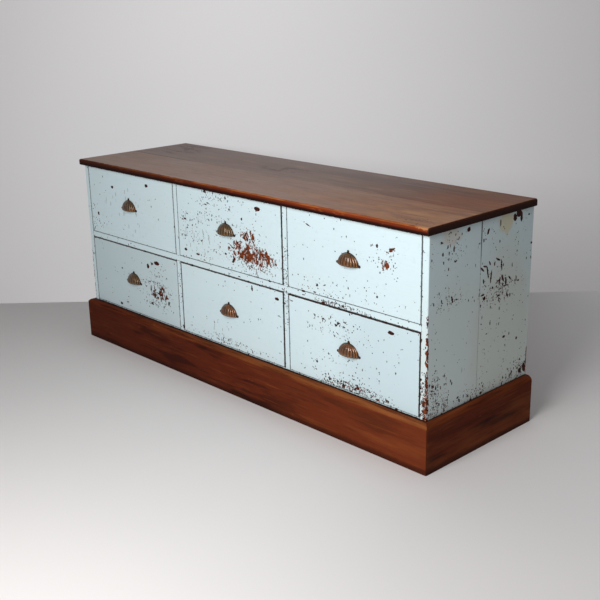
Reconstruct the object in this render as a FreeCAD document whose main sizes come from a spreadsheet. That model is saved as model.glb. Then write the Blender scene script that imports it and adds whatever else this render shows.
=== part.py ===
import FreeCAD, Part

import math
import os
import re

import Sketcher

# Shop chest of six drawers: painted softwood carcass, mahogany top and plinth, shell cup pulls.
# Lengths are millimetres. X runs along the front, Y from front to back, Z up from the floor.

# Driving sizes
SIZES = {
    # Carcass
    "carcass_width": 1650,
    "carcass_depth": 480,
    "carcass_height": 677,
    "end_thickness": 22,
    "end_front_board": 228,
    "partition_thickness": 20,
    "rail_height": 21,
    "rail_depth": 60,
    "rail_lap": 30,
    "bottom_thickness": 20,
    "bottom_reveal": 4,
    "housing_depth": 7,
    "housing_setback": 12,
    "partition_housing": 5,
    "eased_edge": 1.5,
    "seam_chamfer": 0.8,
    # Top
    "top_thickness": 22,
    "top_front_board": 244,
    "top_overhang_front": 16,
    "top_overhang_side": 10,
    "top_round_above": 6,
    "top_round_below": 4,
    # Plinth and base
    "plinth_height": 150,
    "plinth_projection": 24,
    "plinth_round": 17,
    "plinth_corner_round": 4,
    "base_rail_thickness": 20,
    "base_floor_gap": 2,
    "glue_block_leg": 42,
    "glue_block_height": 100,
    # Runners and stops
    "runner_width": 32,
    "stop_width": 45,
    "stop_depth": 25,
    "stop_height": 8,
    "stop_spacing": 300,
    "stop_gap": 0.3,
    # Back boards
    "back_thickness": 12,
    "back_rebate": 11,
    "back_board_count": 8,
    "back_board_gap": 1,
    "back_foot_gap": 6,
    "tongue_length": 6,
    "tongue_thickness": 4,
    "tongue_clearance": 0.3,
    # Drawers
    "front_gap": 2,
    "front_top_gap": 2,
    "front_lift": 1,
    "running_gap": 0.3,
    "drawer_front_thickness": 20,
    "drawer_front_ease": 1,
    "drawer_side_thickness": 10,
    "drawer_side_drop": 2,
    "drawer_back_thickness": 10,
    "drawer_back_drop": 9,
    "drawer_rear_gap": 10,
    "drawer_lap": 6,
    "groove_rise": 12,
    "groove_depth": 5,
    "panel_thickness": 6,
    "tail_count": 4,
    "pin_count": 3,
    # Pulls
    "pull_width": 78,
    "pull_height": 36,
    "pull_projection": 19,
    "pull_wall": 1.5,
    "pull_rise": 116,
    "pull_offset": 7,
    "flute_count": 11,
    "flute_depth": 1.8,
    "ear_radius": 3.4,
    "ear_thickness": 1.6,
    "ear_rise": 3,
    "nail_thickness": 1.8,
    "nail_length": 9,
    "nail_head_radius": 1.9,
    "nail_head_height": 1.2,
    "nail_clearance": 0.1,
    # Extra reach of a cut past the face that it opens
    "overrun": 5,
    # How near two places are to count as one
    "on_face": 0.015,
    "on_point": 0.0015,
    # Shares
    "tail_share": 0.72,
    "tail_slope_share": 0.15,
    "pin_share": 0.3,
}

# Sizes worked out from the driving ones, in the order they are needed
FORMULAS = {
    "half_width": "carcass_width / 2",
    "inner_half": "half_width - end_thickness",
    "bay_width": "(carcass_width - 2 * end_thickness - 2 * partition_thickness) / 3",
    "bay_pitch": "bay_width + partition_thickness",
    "partition_place": "bay_pitch / 2",
    "partition_half": "partition_thickness / 2",
    "housed_half": "inner_half + housing_depth",
    "bottom_top": "plinth_height + bottom_reveal",
    "bottom_low": "bottom_top - bottom_thickness",
    "opening_height": "(carcass_height - bottom_top - rail_height) / 2",
    "rail_low": "bottom_top + opening_height",
    "rail_top": "rail_low + rail_height",
    "back_face": "carcass_depth - back_thickness",
    "top_half": "half_width + top_overhang_side",
    "top_seam": "top_front_board - top_overhang_front",
    "plinth_half": "half_width + plinth_projection",
    "corner_cut": "plinth_corner_round * (1 - cos(45))",
    "top_level": "carcass_height + top_thickness",
    "front_reach": "max(plinth_projection; max(pull_projection; top_overhang_front))",
    "front_face": "(front_reach - carcass_depth) / 2",
    "drawer_half": "bay_width / 2 - front_gap",
    "drawer_inner_half": "drawer_half - drawer_side_thickness",
    "drawer_depth": "back_face - drawer_rear_gap",
    "drawer_shoulder": "drawer_depth - drawer_back_thickness",
    "front_low": "running_gap + front_lift",
    "front_high": "opening_height - front_top_gap",
    "side_top": "front_high - drawer_side_drop",
    "side_height": "side_top - running_gap",
    "groove_low": "running_gap + groove_rise",
    "groove_high": "groove_low + panel_thickness",
    "drawer_back_top": "side_top - drawer_back_drop",
    "tail_pitch": "side_height / tail_count",
    "tail_length": "drawer_front_thickness - drawer_lap",
    "tail_wide": "tail_pitch * tail_share / 2",
    "tail_narrow": "tail_wide - tail_length * tail_slope_share",
    "pin_pitch": "(drawer_back_top - groove_high) / pin_count",
    "pin_wide": "pin_pitch * pin_share / 2",
    "pin_narrow": "pin_wide - drawer_back_thickness * tail_slope_share",
}

document = FreeCAD.newDocument("ShopChest")
sheet = document.addObject("Spreadsheet::Sheet", "Sizes")
for row, (alias, number) in enumerate(SIZES.items(), start=1):
    sheet.set(f"A{row}", alias)
    sheet.set(f"B{row}", str(number))
    sheet.setAlias(f"B{row}", alias)
for row, (alias, formula) in enumerate(FORMULAS.items(), start=len(SIZES) + 1):
    sheet.set(f"A{row}", alias)
    sheet.set(f"B{row}", f"={formula}")
    sheet.setAlias(f"B{row}", alias)
document.recompute()

ALIASES = re.compile(r"\b(" + "|".join([*SIZES, *FORMULAS]) + r")\b")
SIDES = {"left": "-", "right": ""}
SUBPARTS = []


def size(formula):
    """Value of a formula written with the sheet's names"""
    return float(sheet.evalExpression(formula))


def bind(thing, prop, formula):
    """Ties a property of an object to a formula written with the sheet's names"""
    thing.setExpression(prop, ALIASES.sub(r"Sizes.\1", formula))


def place(thing, across="0", back="front_face", up="0"):
    """Places a sub-part: its own X, Y and Z zero go to these formulas"""
    bind(thing, "Placement.Base.x", across)
    bind(thing, "Placement.Base.y", back)
    bind(thing, "Placement.Base.z", up)
    SUBPARTS.append(thing)


def new_body(name):
    """An empty body with the sub-part's name"""
    body = document.addObject("PartDesign::Body", name)
    body.Label = name
    return body


def origin_of(body, role):
    """One of the body's own planes or axes"""
    return next(item for item in body.Origin.OriginFeatures if item.Role == role)


def sketch_on(body, plane, level="0"):
    """A sketch parallel to XY, XZ or YZ, at a level along the third axis"""
    sketch = body.newObject("Sketcher::SketchObject", f"{body.Name}_sketch")
    sketch.AttachmentSupport = [(origin_of(body, f"{plane}_Plane"), "")]
    sketch.MapMode = "FlatFace"
    bind(sketch, "AttachmentOffset.Base.z", f"-({level})" if plane == "XZ" else level)
    return sketch


def hold(sketch, kind, curve, point, formula):
    """Holds a point of the sketch at a distance from the sketch's origin"""
    index = sketch.addConstraint(Sketcher.Constraint(kind, -1, 1, curve, point, size(formula)))
    bind(sketch, f"Constraints[{index}]", formula)


def outline(sketch, corners):
    """A closed outline through corners, each a pair of formulas"""
    points = [FreeCAD.Vector(size(across), size(up), 0) for across, up in corners]
    first = sketch.GeometryCount
    for start, end in zip(points, points[1:] + points[:1]):
        sketch.addGeometry(Part.LineSegment(start, end), False)
    for index, (across, up) in enumerate(corners):
        before = first + (index - 1) % len(corners)
        line = first + index
        sketch.addConstraint(Sketcher.Constraint("Coincident", before, 2, line, 1))
        hold(sketch, "DistanceX", line, 1, across)
        hold(sketch, "DistanceY", line, 1, up)


def rectangle(sketch, left, low, right, high):
    """A rectangle between two corners given as formulas"""
    outline(sketch, [(left, low), (right, low), (right, high), (left, high)])


def extrude(body, kind, sketch, length, toward):
    """A Pad or a Pocket that runs from its sketch up (+1) or down (-1) its axis"""
    feature = body.newObject(f"PartDesign::{kind}", f"{body.Name}_{kind.lower()}")
    feature.Profile = sketch
    bind(feature, "Length", length)
    plane_faces_down = sketch.AttachmentSupport[0][0].Role == "XZ_Plane"
    natural = -1 if plane_faces_down else 1
    if kind == "Pocket":
        natural = -natural
    feature.Reversed = toward != natural
    return feature


def pad(body, sketch, length, toward=1):
    return extrude(body, "Pad", sketch, length, toward)


def pocket(body, sketch, length, toward=1):
    return extrude(body, "Pocket", sketch, length, toward)


def edges_on(feature, **planes):
    """Names of the feature's edges that lie on all the planes given, such as y=..., z=..."""
    names = []
    near = size("on_face")
    for number, edge in enumerate(feature.Shape.Edges, start=1):
        box = edge.BoundBox
        spans = {"x": (box.XMin, box.XMax), "y": (box.YMin, box.YMax), "z": (box.ZMin, box.ZMax)}
        if all(abs(end - size(at)) < near for axis, at in planes.items() for end in spans[axis]):
            names.append(f"Edge{number}")
    return names


def soften(body, kind, feature, edges, amount):
    """A Fillet or a Chamfer on edges of the feature"""
    softened = body.newObject(f"PartDesign::{kind}", f"{body.Name}_{kind.lower()}")
    softened.Base = (feature, edges)
    bind(softened, "Radius" if kind == "Fillet" else "Size", amount)
    document.recompute()
    return softened


# Ends


def end_front_board(side, sign):
    """Front board of an end: housings for the carcass bottom and the middle rail"""
    body = new_body(f"{side}_end_front_board")
    plan = sketch_on(body, "XY")
    outline(plan, [
        (f"{sign}inner_half", "0"),
        (f"{sign}(half_width - eased_edge)", "0"),
        (f"{sign}half_width", "eased_edge"),
        (f"{sign}half_width", "end_front_board - seam_chamfer"),
        (f"{sign}(half_width - seam_chamfer)", "end_front_board"),
        (f"{sign}inner_half", "end_front_board"),
    ])
    pad(body, plan, "carcass_height")
    housing = sketch_on(body, "XY", "bottom_low")
    rectangle(housing, f"{sign}(inner_half - overrun)", "housing_setback",
              f"{sign}housed_half", "end_front_board + overrun")
    pocket(body, housing, "bottom_thickness")
    mortise = sketch_on(body, "XY", "rail_low")
    rectangle(mortise, f"{sign}(inner_half - overrun)", "housing_setback",
              f"{sign}housed_half", "rail_depth")
    pocket(body, mortise, "rail_height")
    place(body)


def end_rear_board(side, sign):
    """Rear board of an end: housing for the carcass bottom, rebate for the back boards"""
    body = new_body(f"{side}_end_rear_board")
    plan = sketch_on(body, "XY")
    outline(plan, [
        (f"{sign}inner_half", "end_front_board"),
        (f"{sign}(half_width - seam_chamfer)", "end_front_board"),
        (f"{sign}half_width", "end_front_board + seam_chamfer"),
        (f"{sign}half_width", "carcass_depth - eased_edge"),
        (f"{sign}(half_width - eased_edge)", "carcass_depth"),
        (f"{sign}(inner_half + back_rebate)", "carcass_depth"),
        (f"{sign}(inner_half + back_rebate)", "back_face"),
        (f"{sign}inner_half", "back_face"),
    ])
    pad(body, plan, "carcass_height")
    housing = sketch_on(body, "XY", "bottom_low")
    rectangle(housing, f"{sign}(inner_half - overrun)", "end_front_board - overrun",
              f"{sign}housed_half", "back_face")
    pocket(body, housing, "bottom_thickness")
    place(body)


# Inside of the carcass


def partition(side, sign):
    """Upright between two drawer columns, notched over the rail and housed in the bottom"""
    body = new_body(f"{side}_partition")
    face = sketch_on(body, "YZ", f"{sign}partition_place - partition_half")
    outline(face, [
        ("0", "bottom_top"),
        ("housing_setback", "bottom_top"),
        ("housing_setback", "bottom_top - partition_housing"),
        ("back_face", "bottom_top - partition_housing"),
        ("back_face", "carcass_height"),
        ("0", "carcass_height"),
        ("0", "rail_top"),
        ("rail_lap", "rail_top"),
        ("rail_lap", "rail_low"),
        ("0", "rail_low"),
    ])
    pad(body, face, "partition_thickness")
    place(body)


def middle_rail():
    """Rail across the whole front, tenoned to the ends and halved over the partitions"""
    body = new_body("middle_rail")
    plan = sketch_on(body, "XY", "rail_low")
    corners = [("-inner_half", "0"), ("inner_half", "0"), ("inner_half", "housing_setback"),
               ("housed_half", "housing_setback"), ("housed_half", "rail_depth")]
    for sign in ("", "-"):
        corners += [
            (f"{sign}partition_place + partition_half", "rail_depth"),
            (f"{sign}partition_place + partition_half", "rail_lap"),
            (f"{sign}partition_place - partition_half", "rail_lap"),
            (f"{sign}partition_place - partition_half", "rail_depth"),
        ]
    corners += [("-housed_half", "rail_depth"), ("-housed_half", "housing_setback"),
                ("-inner_half", "housing_setback")]
    outline(plan, corners)
    pad(body, plan, "rail_height")
    place(body)


def carcass_bottom():
    """Bottom board between the ends, with a stopped housing for each partition"""
    body = new_body("carcass_bottom")
    plan = sketch_on(body, "XY", "bottom_low")
    outline(plan, [
        ("-inner_half", "0"),
        ("inner_half", "0"),
        ("inner_half", "housing_setback"),
        ("housed_half", "housing_setback"),
        ("housed_half", "back_face"),
        ("-housed_half", "back_face"),
        ("-housed_half", "housing_setback"),
        ("-inner_half", "housing_setback"),
    ])
    pad(body, plan, "bottom_thickness")
    housings = sketch_on(body, "XY", "bottom_top")
    for sign in SIDES.values():
        rectangle(housings, f"{sign}partition_place - partition_half", "housing_setback",
                  f"{sign}partition_place + partition_half", "back_face + overrun")
    pocket(body, housings, "partition_housing", -1)
    place(body)


def drawer_runners():
    """Two runners in each column, level with the middle rail"""
    body = new_body("drawer_runners")
    plan = sketch_on(body, "XY", "rail_low")
    for column in ("-bay_pitch", "0", "bay_pitch"):
        rectangle(plan, f"{column} - bay_width / 2", "rail_depth",
                  f"{column} - bay_width / 2 + runner_width", "back_face")
        rectangle(plan, f"{column} + bay_width / 2 - runner_width", "rail_depth",
                  f"{column} + bay_width / 2", "back_face")
    pad(body, plan, "rail_height")
    place(body)


def drawer_stops():
    """Two blocks behind each drawer front"""
    body = new_body("drawer_stops")
    for level in ("bottom_top", "rail_top"):
        plan = sketch_on(body, "XY", level)
        for column in ("-bay_pitch", "0", "bay_pitch"):
            for sign in ("-", "+"):
                middle = f"{column} {sign} stop_spacing / 2"
                rectangle(plan, f"{middle} - stop_width / 2", "drawer_front_thickness + stop_gap",
                          f"{middle} + stop_width / 2", "drawer_front_thickness + stop_gap + stop_depth")
        pad(body, plan, "stop_height")
    place(body)


def back_boards():
    """Upright boards in the rebates of the ends, joined by tongues and grooves"""
    body = new_body("back_boards")
    plan = sketch_on(body, "XY", "back_foot_gap")
    count = int(SIZES["back_board_count"])
    width = "(2 * (inner_half + back_rebate) / back_board_count)"
    middle = "(back_face + back_thickness / 2)"
    for board in range(count):
        left = f"-(inner_half + back_rebate) + {board} * {width}"
        right = f"{left} + {width} - back_board_gap"
        corners = [(left, "back_face")]
        if board == count - 1:
            right = "inner_half + back_rebate"
            corners += [(right, "back_face"), (right, "carcass_depth")]
        else:
            corners += [
                (right, "back_face"),
                (right, f"{middle} - tongue_thickness / 2"),
                (f"{right} + tongue_length", f"{middle} - tongue_thickness / 2"),
                (f"{right} + tongue_length", f"{middle} + tongue_thickness / 2"),
                (right, f"{middle} + tongue_thickness / 2"),
                (right, "carcass_depth"),
            ]
        corners += [(left, "carcass_depth")]
        if board > 0:
            corners += [
                (left, f"{middle} + tongue_thickness / 2 + tongue_clearance"),
                (f"{left} + tongue_length", f"{middle} + tongue_thickness / 2 + tongue_clearance"),
                (f"{left} + tongue_length", f"{middle} - tongue_thickness / 2 - tongue_clearance"),
                (left, f"{middle} - tongue_thickness / 2 - tongue_clearance"),
            ]
        outline(plan, corners)
    pad(body, plan, "carcass_height - back_foot_gap")
    place(body)


# Top

TOP_ROUNDS = {"top_level": "top_round_above", "carcass_height": "top_round_below"}


def top_front_board():
    """Front board of the top, rounded on its front and end edges"""
    body = new_body("top_front_board")
    plan = sketch_on(body, "XY", "carcass_height")
    rectangle(plan, "-top_half", "-top_overhang_front", "top_half", "top_seam")
    board = pad(body, plan, "top_thickness")
    document.recompute()
    for level, amount in TOP_ROUNDS.items():
        rim = edges_on(board, y="-top_overhang_front", z=level)
        for sign in SIDES.values():
            rim += edges_on(board, x=f"{sign}top_half", z=level)
        board = soften(body, "Fillet", board, rim, amount)
    seam = edges_on(board, y="top_seam", z="top_level")
    soften(body, "Chamfer", board, seam, "seam_chamfer")
    place(body)


def top_rear_board():
    """Rear board of the top, rounded on its end edges and flush at the back"""
    body = new_body("top_rear_board")
    plan = sketch_on(body, "XY", "carcass_height")
    rectangle(plan, "-top_half", "top_seam", "top_half", "carcass_depth")
    board = pad(body, plan, "top_thickness")
    document.recompute()
    for level, amount in TOP_ROUNDS.items():
        ends = []
        for sign in SIDES.values():
            ends += edges_on(board, x=f"{sign}top_half", z=level)
        board = soften(body, "Fillet", board, ends, amount)
    long_edges = edges_on(board, y="top_seam", z="top_level")
    long_edges += edges_on(board, y="carcass_depth", z="top_level")
    soften(body, "Chamfer", board, long_edges, "seam_chamfer")
    place(body)


# Plinth and base


def ease_mitre(body, sign, along_front):
    """Takes the sharp tip off a mitred plinth board, for its half of the rounded corner"""
    tip = (f"{sign}plinth_half", "-plinth_projection")
    on_mitre = (f"{sign}(plinth_half - corner_cut)", "-plinth_projection + corner_cut")
    on_front = (f"{sign}(plinth_half - plinth_corner_round)", "-plinth_projection")
    on_side = (f"{sign}plinth_half", "-plinth_projection + plinth_corner_round")
    plan = sketch_on(body, "XY")
    outline(plan, [tip, on_mitre, on_front if along_front else on_side])
    pocket(body, plan, "plinth_height + overrun")


def plinth_front():
    """Front plinth board, mitred at both ends, with a rounded top edge"""
    body = new_body("plinth_front")
    plan = sketch_on(body, "XY")
    outline(plan, [
        ("-half_width", "0"),
        ("-plinth_half", "-plinth_projection"),
        ("plinth_half", "-plinth_projection"),
        ("half_width", "0"),
    ])
    board = pad(body, plan, "plinth_height")
    document.recompute()
    soften(body, "Fillet", board, edges_on(board, y="-plinth_projection", z="plinth_height"), "plinth_round")
    for sign in SIDES.values():
        ease_mitre(body, sign, True)
    place(body)


def plinth_side(side, sign):
    """Plinth board along an end, mitred at the front and flush at the back"""
    body = new_body(f"plinth_{side}")
    plan = sketch_on(body, "XY")
    outline(plan, [
        (f"{sign}half_width", "0"),
        (f"{sign}plinth_half", "-plinth_projection"),
        (f"{sign}plinth_half", "carcass_depth"),
        (f"{sign}half_width", "carcass_depth"),
    ])
    board = pad(body, plan, "plinth_height")
    document.recompute()
    soften(body, "Fillet", board, edges_on(board, x=f"{sign}plinth_half", z="plinth_height"), "plinth_round")
    ease_mitre(body, sign, False)
    place(body)


def base_rails():
    """Rails behind the plinth and at the back, and a bearer under each partition"""
    rear = "back_face - base_rail_thickness"
    rails = new_body("long_base_rails")
    plan = sketch_on(rails, "XY", "base_floor_gap")
    rectangle(plan, "-inner_half", "0", "inner_half", "base_rail_thickness")
    rectangle(plan, "-inner_half", rear, "inner_half", "back_face")
    pad(rails, plan, "bottom_low - base_floor_gap")
    bearers = new_body("base_bearers")
    plan = sketch_on(bearers, "XY", "base_floor_gap")
    for sign in SIDES.values():
        rectangle(plan, f"{sign}partition_place - base_rail_thickness / 2", "base_rail_thickness",
                  f"{sign}partition_place + base_rail_thickness / 2", rear)
    pad(bearers, plan, "bottom_low - base_floor_gap")
    group = document.addObject("Part::Compound", "base_rails")
    group.Label = "base_rails"
    group.Links = [rails, bearers]
    place(group)


def glue_blocks():
    """Three-cornered blocks that tie the ends to the base rails"""
    body = new_body("glue_blocks")
    plan = sketch_on(body, "XY", "bottom_low - glue_block_height")
    for sign in SIDES.values():
        for corner, reach in (("base_rail_thickness", "+ glue_block_leg"),
                              ("back_face - base_rail_thickness", "- glue_block_leg")):
            outline(plan, [
                (f"{sign}inner_half", corner),
                (f"{sign}(inner_half - glue_block_leg)", corner),
                (f"{sign}inner_half", f"{corner} {reach}"),
            ])
    pad(body, plan, "glue_block_height")
    place(body)


# Drawers, each in its own frame: X from the middle of its opening, Y from the front face, Z from the floor
# of the opening


def tails(sketch):
    """Dovetails at the front end of a drawer side, seen from the side"""
    for number in range(int(SIZES["tail_count"])):
        middle = f"running_gap + {number} * tail_pitch + tail_pitch / 2"
        outline(sketch, [
            ("drawer_lap", f"{middle} - tail_wide"),
            ("drawer_front_thickness", f"{middle} - tail_narrow"),
            ("drawer_front_thickness", f"{middle} + tail_narrow"),
            ("drawer_lap", f"{middle} + tail_wide"),
        ])


def pins(sketch):
    """Pins at an end of a drawer back, seen from the side"""
    for number in range(int(SIZES["pin_count"])):
        middle = f"groove_high + {number} * pin_pitch + pin_pitch / 2"
        outline(sketch, [
            ("drawer_shoulder", f"{middle} - pin_wide"),
            ("drawer_depth", f"{middle} - pin_narrow"),
            ("drawer_depth", f"{middle} + pin_narrow"),
            ("drawer_shoulder", f"{middle} + pin_wide"),
        ])


def ears():
    """A pull's three ears in the drawer's frame: centre across and up as formulas, and the way they point"""
    reach = "(pull_width / 2 + ear_radius)"
    level = "pull_rise + ear_rise"
    return [
        (f"-{reach} - pull_offset", level, FreeCAD.Vector(-1, 0, 0)),
        (f"{reach} - pull_offset", level, FreeCAD.Vector(1, 0, 0)),
        ("-pull_offset", "pull_rise + pull_height + ear_radius", FreeCAD.Vector(0, 0, 1)),
    ]


def drawer_front(body):
    """Front with blind sockets for the sides' tails, a groove and holes for the pull's nails"""
    face = sketch_on(body, "XZ")
    rectangle(face, "-drawer_half", "front_low", "drawer_half", "front_high")
    board = pad(body, face, "drawer_front_thickness")
    document.recompute()
    soften(body, "Chamfer", board, edges_on(board, y="0"), "drawer_front_ease")
    for sign, inward in (("-", 1), ("", -1)):
        sockets = sketch_on(body, "YZ", f"{sign}drawer_half")
        tails(sockets)
        pocket(body, sockets, "drawer_side_thickness", inward)
    groove = sketch_on(body, "XZ", "drawer_front_thickness")
    rectangle(groove, "-drawer_inner_half", "groove_low", "drawer_inner_half", "groove_high")
    pocket(body, groove, "groove_depth", -1)
    holes = sketch_on(body, "XZ")
    half = "(nail_thickness / 2 + nail_clearance)"
    for across, up, outward in ears():
        rectangle(holes, f"{across} - {half}", f"{up} - {half}", f"{across} + {half}", f"{up} + {half}")
    pocket(body, holes, "nail_length + nail_clearance")


def drawer_side(body, sign):
    """Side with tails in front, sockets for the back's pins and a groove for the bottom"""
    outward = -1 if sign else 1
    inner_face = f"{sign}drawer_inner_half"
    face = sketch_on(body, "YZ", inner_face)
    rectangle(face, "drawer_front_thickness", "running_gap", "drawer_depth", "side_top")
    pad(body, face, "drawer_side_thickness", outward)
    front_end = sketch_on(body, "YZ", inner_face)
    tails(front_end)
    pad(body, front_end, "drawer_side_thickness", outward)
    rear_end = sketch_on(body, "YZ", inner_face)
    pins(rear_end)
    pocket(body, rear_end, "drawer_side_thickness", outward)
    groove = sketch_on(body, "YZ", inner_face)
    rectangle(groove, "drawer_front_thickness - groove_depth", "groove_low",
              "drawer_depth + overrun", "groove_high")
    pocket(body, groove, "groove_depth", outward)


def drawer_back(body):
    """Back above the bottom panel, with pins at both ends"""
    face = sketch_on(body, "XZ", "drawer_shoulder")
    rectangle(face, "-drawer_inner_half", "groove_high", "drawer_inner_half", "drawer_back_top")
    pad(body, face, "drawer_back_thickness")
    for sign, outward in (("-", -1), ("", 1)):
        end = sketch_on(body, "YZ", f"{sign}drawer_inner_half")
        pins(end)
        pad(body, end, "drawer_side_thickness", outward)


def drawer_bottom(body):
    """Panel in the grooves of the front and sides, running under the back"""
    plan = sketch_on(body, "XY", "groove_low")
    rectangle(plan, "-(drawer_inner_half + groove_depth)", "drawer_front_thickness - groove_depth",
              "drawer_inner_half + groove_depth", "drawer_depth")
    pad(body, plan, "panel_thickness")


# Pulls, in the frame of their drawer

RING_COUNT = 7
CROWN_SHARE = 0.5
LIP_POWER = 1.4
POINTS_PER_FLUTE = 4
POINTS_INSIDE = 12
EAR_STEPS = 6
NAIL_HEAD_SIDES = 8
FORWARD = FreeCAD.Vector(0, -1, 0)


def lip(half_width, reach, count, swell):
    """Points of a cup's lip: half an ellipse with ends drawn in, pushed out by a swell that depends on the turn"""
    points = []
    for number in range(count + 1):
        turn = math.pi * number / count
        extra = swell(turn)
        across = -(half_width + extra) * math.cos(turn)
        points.append(FreeCAD.Vector(across, -(reach + extra) * abs(math.sin(turn)) ** LIP_POWER, 0))
    return points


def flat_face(corners):
    return Part.Face(Part.makePolygon([*corners, corners[0]]))


def dome(points, height, foot):
    """Solid over an outline: flat faces between rings of it that shrink as a quarter ellipse rises"""
    rings = [[point - FreeCAD.Vector(0, 0, foot) for point in points]] if foot else []
    for number in range(RING_COUNT):
        rise = math.pi / 2 * number / (RING_COUNT - CROWN_SHARE)
        lift = FreeCAD.Vector(0, 0, height * math.sin(rise))
        rings.append([point * math.cos(rise) + lift for point in points])
    faces = [flat_face(rings[0]), flat_face(rings[-1])]
    for low, high in zip(rings, rings[1:]):
        for number in range(len(points)):
            after = (number + 1) % len(points)
            faces.append(flat_face([low[number], low[after], high[after], high[number]]))
    solid = Part.makeSolid(Part.makeShell(faces))
    solid.fix(size("on_point"), 0, 0)
    return solid


def ear(centre, outward):
    """Round-ended ear that lies on the drawer front and runs into the shell's wall"""
    radius = size("ear_radius")
    along = outward * radius
    aside = FreeCAD.Vector(outward.z, 0, -outward.x) * radius
    root = centre - along - outward * size("pull_wall / 2")
    corners = [root - aside]
    for step in range(EAR_STEPS + 1):
        turn = math.pi * step / EAR_STEPS
        corners.append(centre - aside * math.cos(turn) + along * math.sin(turn))
    corners.append(root + aside)
    return flat_face(corners).extrude(FORWARD * size("ear_thickness"))


def square_bar(centre, half, length):
    """Square bar round a line that runs forward from the centre"""
    corners = [centre + FreeCAD.Vector(across, 0, up) for across, up in
               ((-half, -half), (half, -half), (half, half), (-half, half))]
    return flat_face(corners).extrude(FORWARD * length)


def shell_pull():
    """Fluted cup open below and behind, with three ears pierced for nails"""
    half_width = size("pull_width / 2")
    reach = size("pull_projection - flute_depth")
    wall = size("pull_wall")
    overrun = size("overrun")
    flute_count = int(SIZES["flute_count"])
    flute_depth = size("flute_depth")
    rim = lip(half_width, reach, flute_count * POINTS_PER_FLUTE,
              lambda turn: flute_depth * abs(math.sin(flute_count * turn)))
    cavity = lip(half_width - wall, reach - wall, POINTS_INSIDE, lambda turn: 0)
    cavity = [cavity[0] - FORWARD * overrun, *cavity, cavity[-1] - FORWARD * overrun]
    shell = dome(rim, size("pull_height"), 0).cut(dome(cavity, size("pull_height") - wall, overrun))
    shell.translate(FreeCAD.Vector(-size("pull_offset"), 0, size("pull_rise")))
    for across, up, outward in ears():
        centre = FreeCAD.Vector(size(across), 0, size(up))
        shell = shell.fuse(ear(centre, outward))
        behind = centre - FORWARD * overrun
        shell = shell.cut(square_bar(behind, size("nail_thickness / 2 + nail_clearance"), 2 * overrun))
    return shell.removeSplitter()


def pull_nails():
    """Three square-shanked nails, one through each ear into the drawer front"""
    nails = []
    for across, up, outward in ears():
        centre = FreeCAD.Vector(size(across), 0, size(up))
        tip = centre - FORWARD * size("nail_length")
        shank = square_bar(tip, size("nail_thickness / 2"), size("nail_length + ear_thickness"))
        head_corners = []
        for side in range(NAIL_HEAD_SIDES):
            turn = 2 * math.pi * side / NAIL_HEAD_SIDES
            spoke = FreeCAD.Vector(math.cos(turn), 0, math.sin(turn)) * size("nail_head_radius")
            head_corners.append(centre + FORWARD * size("ear_thickness") + spoke)
        head = flat_face(head_corners).extrude(FORWARD * size("nail_head_height"))
        nails.append(shank.fuse(head).removeSplitter())
    return Part.makeCompound(nails)


def set_shape(name, shape):
    """A sub-part whose shape comes from the functions above"""
    feature = document.addObject("Part::Feature", name)
    feature.Label = name
    feature.Shape = shape
    return feature


def drawer(name, across, up, pull, nails):
    """One drawer of seven nodes, placed in its opening"""
    front = new_body(f"{name}_front")
    drawer_front(front)
    left = new_body(f"{name}_left_side")
    drawer_side(left, "-")
    right = new_body(f"{name}_right_side")
    drawer_side(right, "")
    back = new_body(f"{name}_back")
    drawer_back(back)
    bottom = new_body(f"{name}_bottom")
    drawer_bottom(bottom)
    cup = set_shape(f"{name}_pull", pull.copy())
    fixings = set_shape(f"{name}_pull_nails", nails.copy())
    for piece in (front, left, right, back, bottom, cup, fixings):
        place(piece, across, "front_face", up)


def build():
    """Every sub-part of the chest"""
    for side, sign in SIDES.items():
        end_front_board(side, sign)
        end_rear_board(side, sign)
        partition(side, sign)
        plinth_side(side, sign)
    middle_rail()
    carcass_bottom()
    drawer_runners()
    drawer_stops()
    back_boards()
    top_front_board()
    top_rear_board()
    plinth_front()
    base_rails()
    glue_blocks()
    pull = shell_pull()
    nails = pull_nails()
    for row, level in (("upper", "rail_top"), ("lower", "bottom_top")):
        for column, across in (("left", "-bay_pitch"), ("middle", "0"), ("right", "bay_pitch")):
            drawer(f"{row}_{column}_drawer", across, level, pull, nails)


def check():
    """Stops on any failed object, bad shape, or feature that adds or cuts nothing"""
    for thing in document.Objects:
        if "Invalid" in thing.State or "Error" in thing.State:
            raise RuntimeError(f"{thing.Label} failed: {thing.State}")
    for subpart in SUBPARTS:
        if subpart.Shape.isNull() or not subpart.Shape.isValid() or not subpart.Shape.Solids:
            raise RuntimeError(f"{subpart.Label} has no sound shape")
        volume = 0
        for feature in getattr(subpart, "Group", []):
            if not feature.isDerivedFrom("PartDesign::Feature"):
                continue
            if feature.TypeId == "PartDesign::Pad" and feature.Shape.Volume <= volume:
                raise RuntimeError(f"{feature.Name} adds nothing")
            if feature.TypeId == "PartDesign::Pocket" and feature.Shape.Volume >= volume:
                raise RuntimeError(f"{feature.Name} cuts nothing")
            volume = feature.Shape.Volume


build()
document.recompute()
check()
os.makedirs("parts", exist_ok=True)
for subpart in SUBPARTS:
    subpart.Shape.exportStep(os.path.join("parts", f"{subpart.Label}.step"))
print(f"{len(SUBPARTS)} sub-parts written")
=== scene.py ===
import functools
import math

import bpy
from mathutils import Matrix, Vector


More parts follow.
